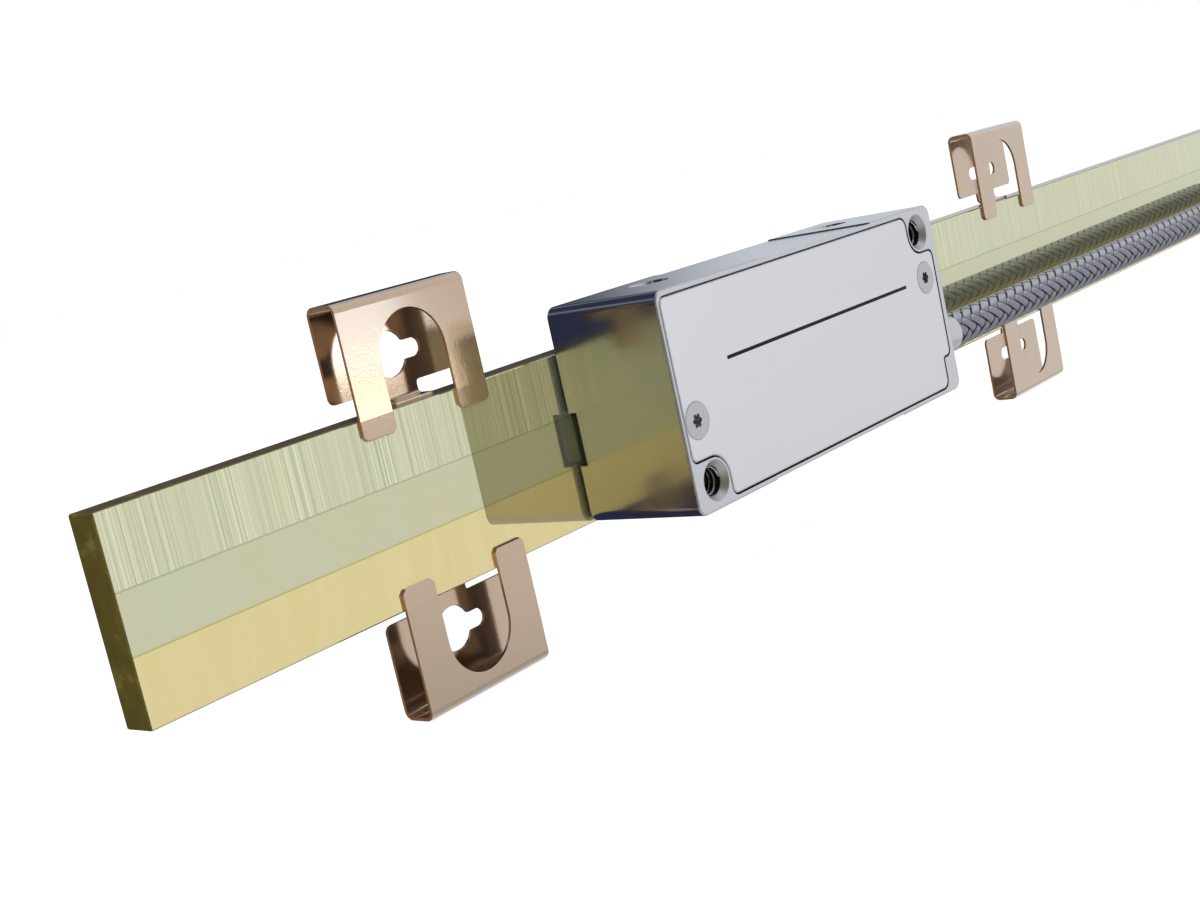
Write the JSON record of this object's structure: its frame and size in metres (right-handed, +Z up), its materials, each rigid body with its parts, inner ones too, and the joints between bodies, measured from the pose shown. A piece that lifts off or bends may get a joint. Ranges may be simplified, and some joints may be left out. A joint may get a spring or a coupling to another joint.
{
  "type": "linear encoder",
  "caption": "Exposed linear encoder: a coated glass scale held by sheet spring clamps, with a scanning head that slides along it on a small air gap, its braided cable and round connector.",
  "frame": {"origin": "middle of the scale's back face, which lies on the machine", "axes": "+X along the scale, +Y into the machine face that carries it, +Z up"},
  "size_m": [0.2703, 0.0928, 0.0328],
  "materials": {
    "coated_glass_ceramic": "polished, with a reflecting code coating",
    "spring_bronze": "rolled and stamped sheet, satin",
    "milled_aluminium": "fine milled, clear anodised",
    "blasted_aluminium": "bead blasted, clear anodised",
    "black_rubber": "moulded, matt",
    "steel_screws": "turned stainless steel",
    "reticle_glass": "polished, grating on one side",
    "black_plastic": "moulded",
    "lens_glass": "polished",
    "green_laminate": "solder masked",
    "lamp_epoxy": "clear moulded",
    "chip_epoxy": "moulded",
    "white_plastic": "moulded",
    "crimped_steel": "drawn and crimped",
    "wire_insulation": "extruded",
    "cable_braid": "woven of fine wire",
    "black_nylon": "woven hook and loop tape",
    "nickelled_brass": "turned, nickel plated",
    "gold_contacts": "turned, gold plated"
  },
  "bodies": {
    "scale": {"measuring_scale": "coated_glass_ceramic", "clamp_left_upper": "spring_bronze", "clamp_left_lower": "spring_bronze", "clamp_middle_upper": "spring_bronze", "clamp_middle_lower": "spring_bronze", "clamp_right_upper": "spring_bronze", "clamp_right_lower": "spring_bronze"},
    "head": {"head_housing": "milled_aluminium", "head_cover": "blasted_aluminium", "cover_gasket": "black_rubber", "cover_screws": "steel_screws", "scanning_reticle": "reticle_glass", "optics_carrier": "black_plastic", "condenser_lens": "lens_glass", "circuit_board": "green_laminate", "light_source": "lamp_epoxy", "photodetector_chip": "chip_epoxy", "signal_chip": "chip_epoxy", "board_connector": "white_plastic", "board_screws": "steel_screws", "cable_ferrule": "crimped_steel", "cable_clamp": "crimped_steel", "cable_clamp_screw": "steel_screws", "lead_wires": "wire_insulation", "cable_lead": "cable_braid", "cable_coil": "cable_braid", "cable_tie": "black_nylon", "cable_tail": "cable_braid", "connector_relief": "black_rubber", "connector_shell": "nickelled_brass", "connector_insert": "black_plastic", "connector_pins": "gold_contacts"},
    "ring": {"coupling_ring": "nickelled_brass"}
  },
  "joints": [
    {"name": "head_travel", "type": "slide", "parent": "scale", "child": "head", "axis": [1, 0, 0], "range_m": [-0.053, 0.187]},
    {"name": "coupling_ring_turn", "type": "hinge", "parent": "head", "child": "ring", "pos_m": [0.0291, -0.0856, -0.00915], "axis": [1, 0, 0], "continuous": true}
  ]
}
